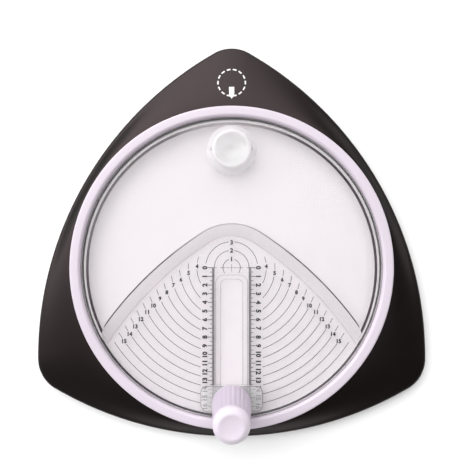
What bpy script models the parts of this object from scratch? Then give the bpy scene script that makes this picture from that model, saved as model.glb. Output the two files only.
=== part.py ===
"""Circle cutter: a clear disc turns in a ring over a mat, and carries a pressed blade along a slot.

The ring, disc and cutter lift off the base as one unit. Sizes are in metres and +Z is up.
Every piece is placed about the disc's turning axis, and the origin is under the middle of the object.
"""

import math

import bmesh
import bpy
from mathutils import Matrix, Vector

MM = 0.001
GAP = 0.3 * MM  # what touching pieces keep between them

# Base, seen from above: a triangle with three bowed sides and three round corners
SIDE_REACH = 100.7 * MM  # axis to the middle of a side
CORNER_REACH = 129.6 * MM  # axis to the tip of a corner
SIDE_RADIUS = 207.6 * MM
CORNER_RADIUS = 20.9 * MM
AXIS_Y = (SIDE_REACH - CORNER_REACH) / 2  # puts the origin under the middle of the box
CORNER_ANGLES = [math.radians(90 + 120 * k) for k in range(3)]
BASE_WALL = 2.4 * MM
BASE_BOTTOM = 1.5 * MM
BASE_EDGE_TOP = 7.6 * MM
SEAT_Z = 12.0 * MM  # where the lift-off ring rests, level with the mat's top
SEAT_RADIUS = 94.0 * MM
PLATE_TOP = 3.3 * MM

# Cutting mat
MAT_RADIUS = 86.2 * MM
MAT_BOTTOM = 9.8 * MM

# Ring that holds the disc, and the thin ring screwed under it
RING_OUTER = 93.0 * MM
RING_INNER = 86.9 * MM
RING_TOP = 18.3 * MM
RETAINER_INNER = 87.2 * MM
RETAINER_BOTTOM = SEAT_Z + GAP
RETAINER_TOP = RETAINER_BOTTOM + 1.0 * MM
RING_BOTTOM = RETAINER_TOP + GAP
PEG_RADIUS = 1.6 * MM
PEG_REACH = 90.2 * MM
RING_SCREW_REACH = 91.2 * MM

# Clear disc
FLOOR_BOTTOM = 12.9 * MM  # leaves 0.9 mm over the mat for paper
FLOOR_TOP = 15.5 * MM
PLATEAU_TOP = 19.6 * MM
DISC_WALL = 2.2 * MM
RIM_OUTER = 86.4 * MM
RIM_INNER = 84.3 * MM
FLANGE_OUTER = 89.4 * MM
FLANGE_BOTTOM = RING_BOTTOM
FLANGE_TOP = FLANGE_BOTTOM + 1.5 * MM
LIP_BOTTOM = FLANGE_TOP + GAP

# Step between the low floor and the raised plateau: a bowed chevron with a round nose
STEP_NOSE_Y = 18.5 * MM  # axis to the nose, at the foot of the slope
STEP_NOSE_RADIUS = 23.5 * MM
STEP_ARM_RADIUS = 200.0 * MM
STEP_NOSE_TURN = math.radians(32.8)  # how far the nose turns to each side
STEP_RUN = 6.7 * MM  # how wide the slope is from above

# Slot for the cutter: a wide sunk track, a narrower opening through the ledges, and room under them
TRACK_HALF = 9.1 * MM
TRACK_START = 4.4 * MM
TRACK_CORNER = 4.6 * MM
TRACK_BOTTOM = 14.9 * MM
SLOT_HALF = 6.3 * MM
SLOT_START = 6.8 * MM
SLOT_CORNER = 3.0 * MM
REBATE_HALF = 11.4 * MM
REBATE_TOP = 14.1 * MM
REBATE_END = 83.3 * MM
REBATE_START = 3.0 * MM

# Finger knob on the plateau
FINGER_Y = 67.2 * MM
FINGER_RADIUS = 14.2 * MM
FINGER_TOP = 25.6 * MM
DISH_RADIUS = 9.0 * MM
STEM_RADIUS = 3.0 * MM

# Cutter, drawn at its outermost place, where it cuts a circle of 154 mm
BLADE_REACH = 77.0 * MM
SHOE_BOTTOM = FLOOR_TOP + GAP
SHOE_TOP = 17.6 * MM
SHOE_HALF = 17.8 * MM
SHOE_FRONT = 67.9 * MM
SHOE_BACK = 82.4 * MM
RUNNER_HALF = 8.7 * MM
RUNNER_FRONT = 68.7 * MM
RUNNER_BACK = 83.0 * MM
TONGUE_HALF = 5.9 * MM
TONGUE_FRONT = 71.2 * MM
TONGUE_BACK = 82.4 * MM
KEEPER_BOTTOM = 13.0 * MM
KEEPER_TOP = 13.8 * MM
KEEPER_HALF = 11.0 * MM
TOWER_RADIUS = 5.4 * MM
TOWER_TOP = 32.5 * MM
ROD_BORE = 2.7 * MM
SPRING_SEAT = 24.5 * MM
SPRING_BORE = 4.6 * MM
HANDLE_BOTTOM = 21.6 * MM
HANDLE_TOP = 53.4 * MM
HANDLE_FOOT_RADIUS = 11.2 * MM
HANDLE_FLUTES = 24
HANDLE_FLUTE_DEPTH = 0.5 * MM
HANDLE_WEB = 37.0 * MM
CAP_TOP = 59.0 * MM
CAP_RADIUS = 9.7 * MM
CAP_FLAT = 6.2 * MM
KEEPER_SCREW_X = 3.9 * MM
KEEPER_SCREW_REACH = 72.6 * MM


# ---------------------------------------------------------------- scene and materials


def clear_scene():
    for thing in list(bpy.data.objects):
        bpy.data.objects.remove(thing)


def new_collection(name):
    made = bpy.data.collections.new(name)
    bpy.context.scene.collection.children.link(made)
    return made


def new_material(name, colour, roughness, metallic=0.0, alpha=1.0):
    made = bpy.data.materials.new(name)
    made.use_nodes = True
    shader = made.node_tree.nodes["Principled BSDF"]
    shader.inputs["Base Color"].default_value = (*colour, 1.0)
    shader.inputs["Roughness"].default_value = roughness
    shader.inputs["Metallic"].default_value = metallic
    shader.inputs["Alpha"].default_value = alpha
    return made


clear_scene()
PARTS = new_collection("circle_trimmer")
CUTTERS = new_collection("cutters")
CHARCOAL = new_material("charcoal_plastic", (0.018, 0.014, 0.014), 0.3)
LILAC = new_material("lilac_plastic", (0.76, 0.67, 0.80), 0.35)
CLEAR = new_material("clear_plastic", (0.90, 0.88, 0.90), 0.08, alpha=0.35)
MAT_WHITE = new_material("mat_white", (0.92, 0.91, 0.93), 0.6)
RUBBER = new_material("foot_rubber", (0.03, 0.03, 0.03), 0.85)
STEEL = new_material("bright_steel", (0.62, 0.62, 0.64), 0.28, metallic=1.0)


# ---------------------------------------------------------------- shape helpers


def put(thing, material):
    """Names the object's collection and material, and hangs it on the turning axis."""
    for holder in list(thing.users_collection):
        holder.objects.unlink(thing)
    PARTS.objects.link(thing)
    thing.parent = TURN_AXIS
    thing.data.materials.clear()
    thing.data.materials.append(material)
    return thing


def as_cutter(thing):
    """Marks the object as a helper for a Boolean, which a render leaves out."""
    PARTS.objects.unlink(thing)
    CUTTERS.objects.link(thing)
    thing.hide_render = True
    thing.display_type = "WIRE"
    return thing


def boolean(thing, operation, helper):
    modifier = thing.modifiers.new(f"{operation.lower()}_{helper.name}", "BOOLEAN")
    modifier.operation = operation
    modifier.solver = "EXACT"
    modifier.object = as_cutter(helper)
    return thing


def cut(thing, helper):
    return boolean(thing, "DIFFERENCE", helper)


def join(thing, helper):
    return boolean(thing, "UNION", helper)


def from_bmesh(name, bm, material):
    mesh = bpy.data.meshes.new(name)
    bm.to_mesh(mesh)
    bm.free()
    mesh.shade_smooth()
    mesh.set_sharp_from_angle(angle=math.radians(25))
    thing = bpy.data.objects.new(name, mesh)
    bpy.context.scene.collection.objects.link(thing)
    return put(thing, material)


def cylinder(name, radius, bottom, top, x=0.0, y=0.0, material=CHARCOAL, sides=24, tip=None):
    """An upright cylinder, or a cone whose upper radius is tip."""
    bm = bmesh.new()
    bmesh.ops.create_cone(
        bm,
        cap_ends=True,
        segments=sides,
        radius1=radius,
        radius2=radius if tip is None else tip,
        depth=top - bottom,
    )
    thing = from_bmesh(name, bm, material)
    thing.location = (x, y, (top + bottom) / 2)
    return thing


def box(name, low, high, material=CHARCOAL):
    bm = bmesh.new()
    size = Vector(high) - Vector(low)
    bmesh.ops.create_cube(bm, size=1.0, matrix=Matrix.Diagonal((*size, 1.0)))
    thing = from_bmesh(name, bm, material)
    thing.location = (Vector(low) + Vector(high)) / 2
    return thing


def turned(name, profile, material, sides=96, closed=False, x=0.0, y=0.0):
    """A (radius, height) profile turned about Z. It runs down its outer side."""
    bm = bmesh.new()
    points = [bm.verts.new((radius, 0.0, height)) for radius, height in profile]
    for first, second in zip(points, points[1:]):
        bm.edges.new((first, second))
    if closed:
        bm.edges.new((points[-1], points[0]))
    thing = from_bmesh(name, bm, material)
    thing.location = (x, y, 0.0)
    screw = thing.modifiers.new("turn", "SCREW")
    screw.steps = screw.render_steps = sides
    screw.use_merge_vertices = True
    screw.merge_threshold = 0.00001
    screw.use_smooth_shade = True
    return thing


def loft(name, loops, material):
    """A closed solid through loops of as many points each, from the lowest to the highest."""
    bm = bmesh.new()
    rows = [[bm.verts.new(point) for point in loop] for loop in loops]
    count = len(rows[0])
    for low, high in zip(rows, rows[1:]):
        for i in range(count):
            j = (i + 1) % count
            bm.faces.new((low[i], low[j], high[j], high[i]))
    bm.faces.new(list(reversed(rows[0])))
    bm.faces.new(rows[-1])
    bmesh.ops.recalc_face_normals(bm, faces=bm.faces)
    return from_bmesh(name, bm, material)


def plate(name, outline, bottom, top, material):
    """A flat outline given a thickness, as a mesh that a Boolean can cut."""
    curve = bpy.data.curves.new(name, "CURVE")
    curve.dimensions = "2D"
    curve.fill_mode = "BOTH"
    curve.extrude = (top - bottom) / 2
    spline = curve.splines.new("POLY")
    spline.points.add(len(outline) - 1)
    for point, (x, y) in zip(spline.points, outline):
        point.co = (x, y, 0.0, 1.0)
    spline.use_cyclic_u = True
    drawn = bpy.data.objects.new(name + "_outline", curve)
    bpy.context.scene.collection.objects.link(drawn)
    bpy.context.view_layer.update()
    solid = bpy.data.meshes.new_from_object(drawn.evaluated_get(bpy.context.evaluated_depsgraph_get()))
    bpy.data.objects.remove(drawn)
    bm = bmesh.new()
    bm.from_mesh(solid)
    bpy.data.meshes.remove(solid)
    bmesh.ops.remove_doubles(bm, verts=bm.verts, dist=0.00001)
    bmesh.ops.recalc_face_normals(bm, faces=bm.faces)
    thing = from_bmesh(name, bm, material)
    thing.location = (0.0, 0.0, (top + bottom) / 2)
    return thing


def polar(angle, reach):
    return reach * math.cos(angle), reach * math.sin(angle)


def arc(centre, radius, start, end, steps):
    """Points on an arc, its last one left to what follows."""
    turns = [start + (end - start) * k / steps for k in range(steps)]
    return [(centre[0] + radius * math.cos(t), centre[1] + radius * math.sin(t)) for t in turns]


def rounded_box(half, front, back, corner, steps=4):
    """A rectangle with round corners, from x -half to half and y -back to -front."""
    middles = [
        (half - corner, -front - corner, 0.0),
        (-half + corner, -front - corner, 0.5 * math.pi),
        (-half + corner, -back + corner, math.pi),
        (half - corner, -back + corner, 1.5 * math.pi),
    ]
    points = []
    for x, y, start in middles:
        points += arc((x, y), corner, start, start + 0.5 * math.pi, steps)
        end = start + 0.5 * math.pi
        points.append((x + corner * math.cos(end), y + corner * math.sin(end)))
    return points


# ---------------------------------------------------------------- outlines


def base_outline(inset=0.0, side_steps=18, corner_steps=8):
    """The base's edge, moved inwards by inset. Side arcs run into corner arcs smoothly."""
    side_centre = SIDE_RADIUS - SIDE_REACH
    corner_centre = CORNER_REACH - CORNER_RADIUS
    # where a side's arc ends, seen from its own centre
    end_x, end_y = polar(math.radians(60), corner_centre)
    half_turn = math.atan2(end_y, side_centre + end_x)
    points = []
    for angle in CORNER_ANGLES:
        turn = math.radians(60) - half_turn
        middle = polar(angle, corner_centre)
        points += arc(middle, CORNER_RADIUS - inset, angle - turn, angle + turn, corner_steps)
        side = angle + math.radians(60)
        middle = polar(side, -side_centre)
        points += arc(middle, SIDE_RADIUS - inset, side - half_turn, side + half_turn, side_steps)
    return points


def blended(outline, radius, share):
    """Each outline point moved towards a circle of that radius, along its own direction."""
    points = []
    for x, y in outline:
        reach = math.hypot(x, y)
        wanted = reach + (radius - reach) * share
        points.append((x / reach * wanted, y / reach * wanted))
    return points


def at_height(outline, height):
    return [(x, y, height) for x, y in outline]


def step_line(outwards, nose_steps=10, arm_steps=9):
    """The chevron of the step, moved outwards from the slope's foot, from its right end to its left."""
    nose_radius = STEP_NOSE_RADIUS + outwards
    nose = (0.0, STEP_NOSE_Y - STEP_NOSE_RADIUS)
    right = math.pi / 2 - STEP_NOSE_TURN
    # an arm's arc starts where the nose ends and has its centre on the same line
    arm_radius = STEP_ARM_RADIUS + outwards
    reach = STEP_NOSE_RADIUS - STEP_ARM_RADIUS
    arm = (nose[0] + reach * math.cos(right), nose[1] + reach * math.sin(right))
    half = arc(arm, arm_radius, right - math.radians(32), right, arm_steps)
    half += arc(nose, nose_radius, right, math.pi / 2, nose_steps // 2)
    top = (0.0, nose[1] + nose_radius)
    return half + [top] + [(-x, y) for x, y in reversed(half)]


# ---------------------------------------------------------------- base


def make_base_shell():
    rise = SEAT_Z - BASE_EDGE_TOP

    def crown(share):
        return BASE_EDGE_TOP + rise * (1 - (1 - share) ** 1.6)

    shoulder = base_outline(2.0 * MM)
    loops = [
        at_height(base_outline(0.6 * MM), BASE_BOTTOM),
        at_height(base_outline(), BASE_BOTTOM + 0.8 * MM),
        at_height(base_outline(), BASE_EDGE_TOP - 2.0 * MM),
        at_height(base_outline(0.7 * MM), BASE_EDGE_TOP - 0.7 * MM),
        at_height(shoulder, BASE_EDGE_TOP),
        at_height(blended(shoulder, SEAT_RADIUS, 0.45), crown(0.45)),
        at_height(blended(shoulder, SEAT_RADIUS, 1.0), SEAT_Z),
    ]
    shell = loft("base_shell", loops, CHARCOAL)
    skirt = base_outline(BASE_WALL)
    under_mat = 7.3 * MM
    hollow = loft(
        "base_hollow",
        [
            at_height(skirt, BASE_BOTTOM - 1.0 * MM),
            at_height(skirt, 4.6 * MM),
            at_height(blended(base_outline(4.2 * MM), SEAT_RADIUS, 0.3), 6.0 * MM),
            at_height(blended(skirt, 91.4 * MM, 1.0), under_mat),
        ],
        CHARCOAL,
    )
    cut(shell, hollow)
    # the hollow also rises under each corner
    for k, angle in enumerate(CORNER_ANGLES):
        pocket = cylinder(f"corner_hollow_{k}", 10.0 * MM, 5.0 * MM, SEAT_Z - 3.6 * MM, sides=20)
        pocket.location.x, pocket.location.y = polar(angle, 105.5 * MM)
        cut(shell, pocket)
    cut(shell, cylinder("mat_recess", MAT_RADIUS + 0.4 * MM, MAT_BOTTOM - GAP, SEAT_Z + 2 * MM, sides=96))
    for k, angle in enumerate(CORNER_ANGLES):
        hole = cylinder(f"peg_hole_{k}", PEG_RADIUS + 0.4 * MM, 9.0 * MM, SEAT_Z + 2 * MM, sides=16)
        hole.location.x, hole.location.y = polar(angle, PEG_REACH)
        cut(shell, hole)
    for k, (x, y) in enumerate(base_screw_places()):
        join(shell, cylinder(f"screw_boss_{k}", 3.4 * MM, PLATE_TOP + GAP, 8.6 * MM, x, y, sides=16))
    for k, (x, y) in enumerate(base_screw_places()):
        cut(shell, cylinder(f"boss_hole_{k}", 1.4 * MM, PLATE_TOP - 1 * MM, 8.0 * MM, x, y, sides=12))
    for k, angle in enumerate(rib_angles()):
        rib = box(f"rib_{k}", (90 * MM, -0.8 * MM, PLATE_TOP + GAP), (101.5 * MM, 0.8 * MM, 8.4 * MM))
        turn = Matrix.Rotation(angle, 4, "Z")
        rib.location = turn @ rib.location
        rib.rotation_euler.z = angle
        join(shell, rib)
    return shell


def base_screw_places():
    return [polar(angle + side * math.radians(12), 107 * MM) for angle in CORNER_ANGLES for side in (-1, 1)]


def rib_angles():
    return [angle + side * math.radians(27) for angle in CORNER_ANGLES for side in (-1, 1)]


def make_base_plate():
    under = plate("base_plate", base_outline(BASE_WALL + 0.4 * MM), BASE_BOTTOM, PLATE_TOP, CHARCOAL)
    for k, (x, y) in enumerate(base_screw_places()):
        cut(under, cylinder(f"plate_hole_{k}", 1.5 * MM, 0.0, PLATE_TOP + 1 * MM, x, y, sides=12))
        cut(under, cylinder(f"plate_sink_{k}", 2.8 * MM, 0.0, 2.6 * MM, x, y, sides=16))
    return under


def make_base_screws():
    for k, (x, y) in enumerate(base_screw_places()):
        profile = [(0.0, 7.4), (0.9, 7.4), (1.1, 7.0), (1.1, 2.3), (2.4, 2.3), (2.4, 1.6), (0.0, 1.6)]
        turned(
            f"base_screw_{k + 1}",
            [(radius * MM, height * MM) for radius, height in profile],
            STEEL,
            sides=12,
            x=x,
            y=y,
        )


def make_feet():
    for k, angle in enumerate(CORNER_ANGLES):
        x, y = polar(angle, 109 * MM)
        cylinder(f"rubber_foot_{k + 1}", 6.6 * MM, 0.0, BASE_BOTTOM - GAP, x, y, RUBBER, tip=7.2 * MM)


def make_mat():
    return cylinder("cutting_mat", MAT_RADIUS, MAT_BOTTOM, SEAT_Z, material=MAT_WHITE, sides=96)


# ---------------------------------------------------------------- ring


def make_bearing_ring():
    ring = turned(
        "bearing_ring",
        [
            (RING_OUTER - 0.8 * MM, RING_TOP),
            (RING_OUTER, RING_TOP - 0.8 * MM),
            (RING_OUTER, RING_BOTTOM),
            (FLANGE_OUTER + 0.4 * MM, RING_BOTTOM),
            (FLANGE_OUTER + 0.4 * MM, LIP_BOTTOM),
            (RING_INNER, LIP_BOTTOM),
            (RING_INNER, RING_TOP - 0.5 * MM),
            (RING_INNER + 0.5 * MM, RING_TOP),
        ],
        LILAC,
        closed=True,
    )
    for k, (x, y) in enumerate(ring_screw_places()):
        cut(ring, cylinder(f"ring_hole_{k}", 1.0 * MM, RING_BOTTOM - 1 * MM, 17.0 * MM, x, y, sides=10))
    return ring


def ring_screw_places():
    return [polar(math.radians(60 * k), RING_SCREW_REACH) for k in range(6)]


def make_retainer_ring():
    ring = turned(
        "retainer_ring",
        [
            (RING_OUTER - 0.3 * MM, RETAINER_TOP),
            (RING_OUTER - 0.3 * MM, RETAINER_BOTTOM),
            (RETAINER_INNER, RETAINER_BOTTOM),
            (RETAINER_INNER, RETAINER_TOP),
        ],
        LILAC,
        closed=True,
    )
    for k, angle in enumerate(CORNER_ANGLES):
        x, y = polar(angle, PEG_REACH)
        low, high = 9.8 * MM, RETAINER_TOP - 0.3 * MM
        peg = cylinder(f"peg_{k}", PEG_RADIUS * 0.75, low, high, x, y, sides=16, tip=PEG_RADIUS)
        join(ring, peg)
    for k, (x, y) in enumerate(ring_screw_places()):
        cut(ring, cylinder(f"retainer_hole_{k}", 1.1 * MM, 11 * MM, 15 * MM, x, y, sides=10))
    return ring


def make_ring_screws():
    for k, (x, y) in enumerate(ring_screw_places()):
        profile = [(0.0, 16.6), (0.55, 16.6), (0.7, 16.2), (0.7, 12.4), (0.0, 12.4)]
        turned(
            f"ring_screw_{k + 1}",
            [(radius * MM, height * MM) for radius, height in profile],
            STEEL,
            sides=10,
            x=x,
            y=y,
        )


# ---------------------------------------------------------------- clear disc


def wedge(name, inside, low, high, low_shift, high_shift, radius):
    """The room on one side of the step, with the step's slope on it, kept within a radius."""
    far = -150 * MM if inside else 150 * MM
    loops = []
    for height, shift in ((low, low_shift), (high, high_shift)):
        line = step_line(shift)
        ends = [(-150 * MM, line[-1][1]), (-150 * MM, far), (150 * MM, far), (150 * MM, line[0][1])]
        loops.append(at_height(line + ends, height))
    room = loft(name, loops, CLEAR)
    limit = cylinder(f"{name}_limit", radius, low - 1 * MM, high + 1 * MM, sides=96)
    boolean(room, "INTERSECT", limit)
    return room


def make_clear_disc():
    disc = turned(
        "clear_disc",
        [
            (0.0, PLATEAU_TOP),
            (76 * MM, PLATEAU_TOP),
            (81 * MM, PLATEAU_TOP - 0.3 * MM),
            (84.2 * MM, RING_TOP + 0.2 * MM),
            (RIM_OUTER - 0.4 * MM, RING_TOP - 0.2 * MM),
            (RIM_OUTER, RING_TOP - 0.7 * MM),
            (RIM_OUTER, FLANGE_TOP),
            (FLANGE_OUTER, FLANGE_TOP),
            (FLANGE_OUTER, FLANGE_BOTTOM),
            (RIM_OUTER, FLANGE_BOTTOM),
            (RIM_OUTER, FLOOR_BOTTOM),
            (0.0, FLOOR_BOTTOM),
        ],
        CLEAR,
    )
    slope = STEP_RUN / (PLATEAU_TOP - FLOOR_TOP)
    over = 2.0 * MM
    run = STEP_RUN + over * slope
    cut(disc, wedge("low_sector", True, FLOOR_TOP, PLATEAU_TOP + over, 0.0, run, RIM_INNER))
    ceiling = PLATEAU_TOP - DISC_WALL
    under = 1.0 * MM
    cut(disc, wedge("plateau_hollow", False, FLOOR_BOTTOM - under, ceiling, 0.3 * MM - under * slope,
                    0.3 * MM + (ceiling - FLOOR_BOTTOM) * slope, RIM_INNER - 0.1 * MM))
    track = rounded_box(TRACK_HALF, TRACK_START, 83.7 * MM, TRACK_CORNER)
    cut(disc, plate("track", track, TRACK_BOTTOM, 30 * MM, CLEAR))
    slot = rounded_box(SLOT_HALF, SLOT_START, 83.0 * MM, SLOT_CORNER)
    cut(disc, plate("slot", slot, 10 * MM, 30 * MM, CLEAR))
    rebate = box("rebate", (-REBATE_HALF, -REBATE_END, 10 * MM), (REBATE_HALF, -REBATE_START, REBATE_TOP))
    cut(disc, rebate)
    cut(disc, cylinder("stem_hole", STEM_RADIUS + 0.4 * MM, 16 * MM, 22 * MM, y=FINGER_Y, sides=24))
    return disc


def make_finger_knob():
    profile = [
        (0.0, FINGER_TOP - 2.4 * MM),
        (5.0 * MM, FINGER_TOP - 1.9 * MM),
        (DISH_RADIUS, FINGER_TOP - 0.2 * MM),
        (DISH_RADIUS + 1.0 * MM, FINGER_TOP),
        (DISH_RADIUS + 2.0 * MM, FINGER_TOP - 0.7 * MM),
        (FINGER_RADIUS - 0.6 * MM, PLATEAU_TOP + 1.4 * MM),
        (FINGER_RADIUS, PLATEAU_TOP + GAP),
        (STEM_RADIUS, PLATEAU_TOP + GAP),
        (STEM_RADIUS, 17.1 * MM),
        (STEM_RADIUS - 0.7 * MM, 17.0 * MM),
        (STEM_RADIUS - 0.7 * MM, 16.0 * MM),
        (STEM_RADIUS, 15.8 * MM),
        (STEM_RADIUS - 0.6 * MM, 15.0 * MM),
        (0.0, 15.0 * MM),
    ]
    turned("finger_knob", profile, CLEAR, sides=40, y=FINGER_Y)


def make_finger_washer():
    profile = [(5.4, 16.9), (5.4, 16.2), (2.6, 16.2), (2.6, 16.9)]
    scaled = [(radius * MM, height * MM) for radius, height in profile]
    turned("finger_washer", scaled, CLEAR, sides=24, closed=True, y=FINGER_Y)


# ---------------------------------------------------------------- cutter


def make_shoe():
    """The clear slider: a plate over the slot's edges, a tongue in the slot and a hollow tower."""
    outline = rounded_box(SHOE_HALF, SHOE_FRONT, SHOE_BACK, 3.6 * MM)
    shoe = plate("slider_shoe", outline, SHOE_BOTTOM, SHOE_TOP, CLEAR)
    runner = rounded_box(RUNNER_HALF, RUNNER_FRONT, RUNNER_BACK, 4.4 * MM)
    join(shoe, plate("runner", runner, TRACK_BOTTOM + GAP, SHOE_BOTTOM + 0.8 * MM, CLEAR))
    tongue = rounded_box(TONGUE_HALF, TONGUE_FRONT, TONGUE_BACK, 3.0 * MM)
    join(shoe, plate("tongue", tongue, REBATE_TOP, SHOE_BOTTOM + 0.6 * MM, CLEAR))
    join(shoe, cylinder("tower", TOWER_RADIUS, SHOE_TOP - 1 * MM, TOWER_TOP, y=-BLADE_REACH, sides=32))
    cut(shoe, cylinder("rod_bore", ROD_BORE, 10 * MM, TOWER_TOP + 1 * MM, y=-BLADE_REACH, sides=24))
    cut(shoe, cylinder("spring_bore", SPRING_BORE, SPRING_SEAT, TOWER_TOP + 1 * MM, y=-BLADE_REACH))
    cut(shoe, cylinder("stop_bore", 4.0 * MM, 10 * MM, 18.3 * MM, y=-BLADE_REACH, sides=24))
    for k, x in enumerate((-KEEPER_SCREW_X, KEEPER_SCREW_X)):
        hole = cylinder(f"shoe_hole_{k}", 0.9 * MM, 12 * MM, 17.0 * MM, x, -KEEPER_SCREW_REACH, sides=10)
        cut(shoe, hole)
    return shoe


def make_keeper():
    """The plate under the slot's edges that holds the shoe down."""
    outline = rounded_box(KEEPER_HALF, 68.2 * MM, 82.4 * MM, 2.5 * MM)
    keeper = plate("slider_keeper", outline, KEEPER_BOTTOM, KEEPER_TOP, CLEAR)
    cut(keeper, cylinder("keeper_bore", 4.4 * MM, 12 * MM, 15 * MM, y=-BLADE_REACH, sides=24))
    for k, x in enumerate((-KEEPER_SCREW_X, KEEPER_SCREW_X)):
        hole = cylinder(f"keeper_hole_{k}", 1.0 * MM, 12 * MM, 15 * MM, x, -KEEPER_SCREW_REACH, sides=10)
        cut(keeper, hole)
    return keeper


def make_keeper_screws():
    profile = [(0.0, 16.7), (0.45, 16.7), (0.65, 16.2), (0.65, 13.1), (0.0, 13.1)]
    for k, x in enumerate((-KEEPER_SCREW_X, KEEPER_SCREW_X)):
        scaled = [(radius * MM, height * MM) for radius, height in profile]
        turned(f"keeper_screw_{k + 1}", scaled, STEEL, sides=10, x=x, y=-KEEPER_SCREW_REACH)


def make_handle():
    """The fluted grip, a little wider at its foot, with a web inside that the screw draws down on."""
    foot, top, flute = HANDLE_FOOT_RADIUS, CAP_RADIUS, HANDLE_FLUTE_DEPTH
    sections = [
        (HANDLE_BOTTOM, foot - 0.5 * MM, 0.0),
        (HANDLE_BOTTOM + 0.6 * MM, foot, 0.0),
        (HANDLE_BOTTOM + 1.6 * MM, foot, flute),
        (HANDLE_TOP - 1.6 * MM, top, flute),
        (HANDLE_TOP, top, 0.0),
    ]
    steps = HANDLE_FLUTES * 4
    loops = []
    for height, radius, depth in sections:
        reaches = [radius - depth * (0.0, 0.5, 1.0, 0.5)[k % 4] for k in range(steps)]
        ring = [polar(2 * math.pi * k / steps, reach) for k, reach in enumerate(reaches)]
        loops.append([(x, y, height) for x, y in ring])
    grip = loft("press_handle", loops, LILAC)
    grip.location.y = -BLADE_REACH
    cut(grip, cylinder("tower_room", 9.4 * MM, 18 * MM, HANDLE_WEB, y=-BLADE_REACH, sides=32, tip=7.4 * MM))
    cut(grip, cylinder("screw_way", 1.5 * MM, 36 * MM, 42 * MM, y=-BLADE_REACH, sides=12))
    cut(grip, cylinder("top_room", 7.2 * MM, 40 * MM, 60 * MM, y=-BLADE_REACH, sides=32))
    return grip


def make_cap():
    profile = [
        (0.0, CAP_TOP - 0.5 * MM),
        (4.6 * MM, CAP_TOP - 0.25 * MM),
        (CAP_FLAT, CAP_TOP),
        (8.2 * MM, CAP_TOP - 0.8 * MM),
        (9.3 * MM, CAP_TOP - 2.1 * MM),
        (CAP_RADIUS, CAP_TOP - 3.6 * MM),
        (CAP_RADIUS, HANDLE_TOP + GAP),
        (6.8 * MM, HANDLE_TOP + GAP),
        (6.8 * MM, HANDLE_TOP - 3.0 * MM),
        (5.4 * MM, HANDLE_TOP - 3.0 * MM),
        (5.4 * MM, HANDLE_TOP + 1.6 * MM),
        (0.0, HANDLE_TOP + 1.6 * MM),
    ]
    turned("handle_cap", profile, LILAC, sides=40, y=-BLADE_REACH)


def make_blade_holder():
    profile = [
        (0.0, 36.7),
        (2.4, 36.7),
        (2.4, 35.0),
        (4.3, 35.0),
        (4.3, 33.5),
        (2.4, 33.5),
        (2.4, 18.0),
        (3.6, 18.0),
        (3.6, 16.2),
        (0.0, 16.2),
    ]
    scaled = [(radius * MM, height * MM) for radius, height in profile]
    rod = turned("blade_holder", scaled, LILAC, sides=24, y=-BLADE_REACH)
    slit = box("blade_slit", (-2.1 * MM, -0.6 * MM, 10 * MM), (2.1 * MM, 0.6 * MM, 24.4 * MM))
    slit.location.y -= BLADE_REACH
    cut(rod, slit)
    across = cylinder("grub_hole", 1.0 * MM, -6 * MM, 6 * MM, sides=12)
    across.rotation_euler.x = math.pi / 2
    across.location = (0.0, -BLADE_REACH, 21.5 * MM)
    cut(rod, across)
    cut(rod, cylinder("holder_hole", 1.3 * MM, 30 * MM, 40 * MM, y=-BLADE_REACH, sides=12))
    return rod


def make_blade():
    """A thin steel blade set across the slot, so that its point follows the circle."""
    half = 1.7 * MM
    outline = [(-half, 24.0), (half, 24.0), (half, 17.2), (0.0, 14.8), (-half, 17.2)]
    front = [(x, -0.25 * MM, z * MM) for x, z in outline]
    back = [(x, 0.25 * MM, z * MM) for x, z in outline]
    blade = loft("blade", [front, back], STEEL)
    blade.location.y = -BLADE_REACH
    hole = cylinder("blade_hole", 1.0 * MM, -3 * MM, 3 * MM, sides=12)
    hole.rotation_euler.x = math.pi / 2
    hole.location = (0.0, -BLADE_REACH, 21.5 * MM)
    cut(blade, hole)
    return blade


def make_grub_screw():
    screw = cylinder("blade_screw", 0.7 * MM, -2.1 * MM, 2.1 * MM, material=STEEL, sides=12)
    screw.rotation_euler.x = math.pi / 2
    screw.location = (0.0, -BLADE_REACH, 21.5 * MM)


def make_handle_screw():
    profile = [(0.0, 42.2), (2.5, 42.2), (2.5, 40.3), (1.0, 40.3), (1.0, 31.4), (0.7, 31.0), (0.0, 31.0)]
    scaled = [(radius * MM, height * MM) for radius, height in profile]
    turned("handle_screw", scaled, STEEL, sides=14, y=-BLADE_REACH)


def make_spring():
    turns, steps = 5, 12
    low, high = SPRING_SEAT + 0.75 * MM, 33.5 * MM - 0.75 * MM
    curve = bpy.data.curves.new("return_spring", "CURVE")
    curve.dimensions = "3D"
    curve.bevel_depth = 0.4 * MM
    curve.bevel_resolution = 1
    curve.use_fill_caps = True
    spline = curve.splines.new("POLY")
    count = turns * steps
    spline.points.add(count)
    for k, point in enumerate(spline.points):
        turn = 2 * math.pi * k / steps
        height = low + (high - low) * k / count
        point.co = (3.6 * MM * math.cos(turn), 3.6 * MM * math.sin(turn), height, 1.0)
    spring = bpy.data.objects.new("return_spring", curve)
    bpy.context.scene.collection.objects.link(spring)
    put(spring, STEEL)
    spring.location.y = -BLADE_REACH


TURN_AXIS = bpy.data.objects.new("turn_axis", None)
TURN_AXIS.location = (0.0, AXIS_Y, 0.0)
bpy.context.scene.collection.objects.link(TURN_AXIS)

make_base_shell()
make_base_plate()
make_base_screws()
make_feet()
make_mat()
make_bearing_ring()
make_retainer_ring()
make_ring_screws()
make_clear_disc()
make_finger_knob()
make_finger_washer()
make_shoe()
make_keeper()
make_keeper_screws()
make_handle()
make_cap()
make_blade_holder()
make_blade()
make_grub_screw()
make_handle_screw()
make_spring()
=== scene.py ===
"""Circle cutter: a clear printed disc turns in a lilac ring over a charcoal base, a press knob on its slider.

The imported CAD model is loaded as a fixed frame, and each operator dresses one group of its pieces.
"""

import math

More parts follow.
